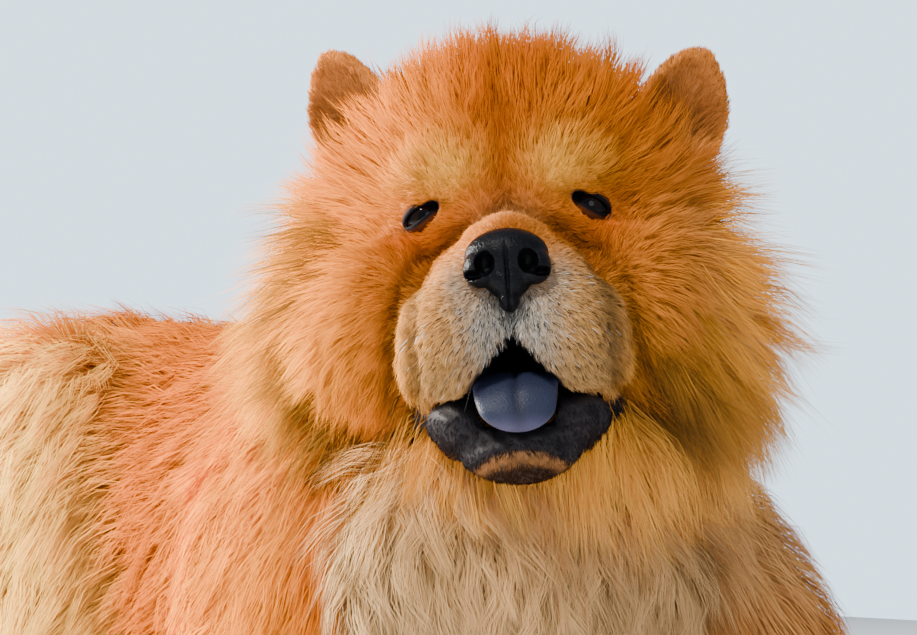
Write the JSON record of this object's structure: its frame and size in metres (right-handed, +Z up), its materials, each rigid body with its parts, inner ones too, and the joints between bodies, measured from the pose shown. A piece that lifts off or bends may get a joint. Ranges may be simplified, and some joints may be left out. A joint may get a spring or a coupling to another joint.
{
  "type": "chow chow dog, lying",
  "caption": "Life-size rough-coated chow chow lying on its belly, head up and turned, mouth open with the tongue out.",
  "frame": {"origin": "on the flat underside of the brisket and belly, where the dog rests on the floor, between the elbows and the haunches", "axes": "+Z up, -Y along the body towards the forelegs, +X to the dog's left"},
  "size_m": [0.4722, 0.9334, 0.4554],
  "materials": {
    "coat": "dense straight orange hair over woolly undercoat",
    "mane": "long fluffy golden-orange hair",
    "bib": "long soft grey-cream hair in loose curls",
    "tail": "long pale cream hair",
    "nose": "moist pebbled blue-black skin",
    "lips": "moist blue-black skin with short hair",
    "tongue": "moist slate-blue tongue with a middle groove",
    "eye": "wet dark brown eye",
    "claw": "dark horn"
  },
  "bodies": {
    "root": {"torso": "coat", "thigh_right": "coat", "hind_paw_right": "coat", "hind_leg_right": "coat", "upper_arm_right": "coat", "fore_paw_right": "coat", "forearm_right": "coat", "thigh_left": "coat", "hind_paw_left": "coat", "hind_leg_left": "coat", "upper_arm_left": "coat", "fore_paw_left": "coat", "forearm_left": "coat", "nose": "nose", "tongue": "tongue", "eye_right": "eye", "eye_left": "eye", "head": "mane", "jaw": "lips", "ear_right": "mane", "ear_left": "mane", "neck": "mane", "chest": "bib", "tail": "tail"}
  },
  "joints": []
}
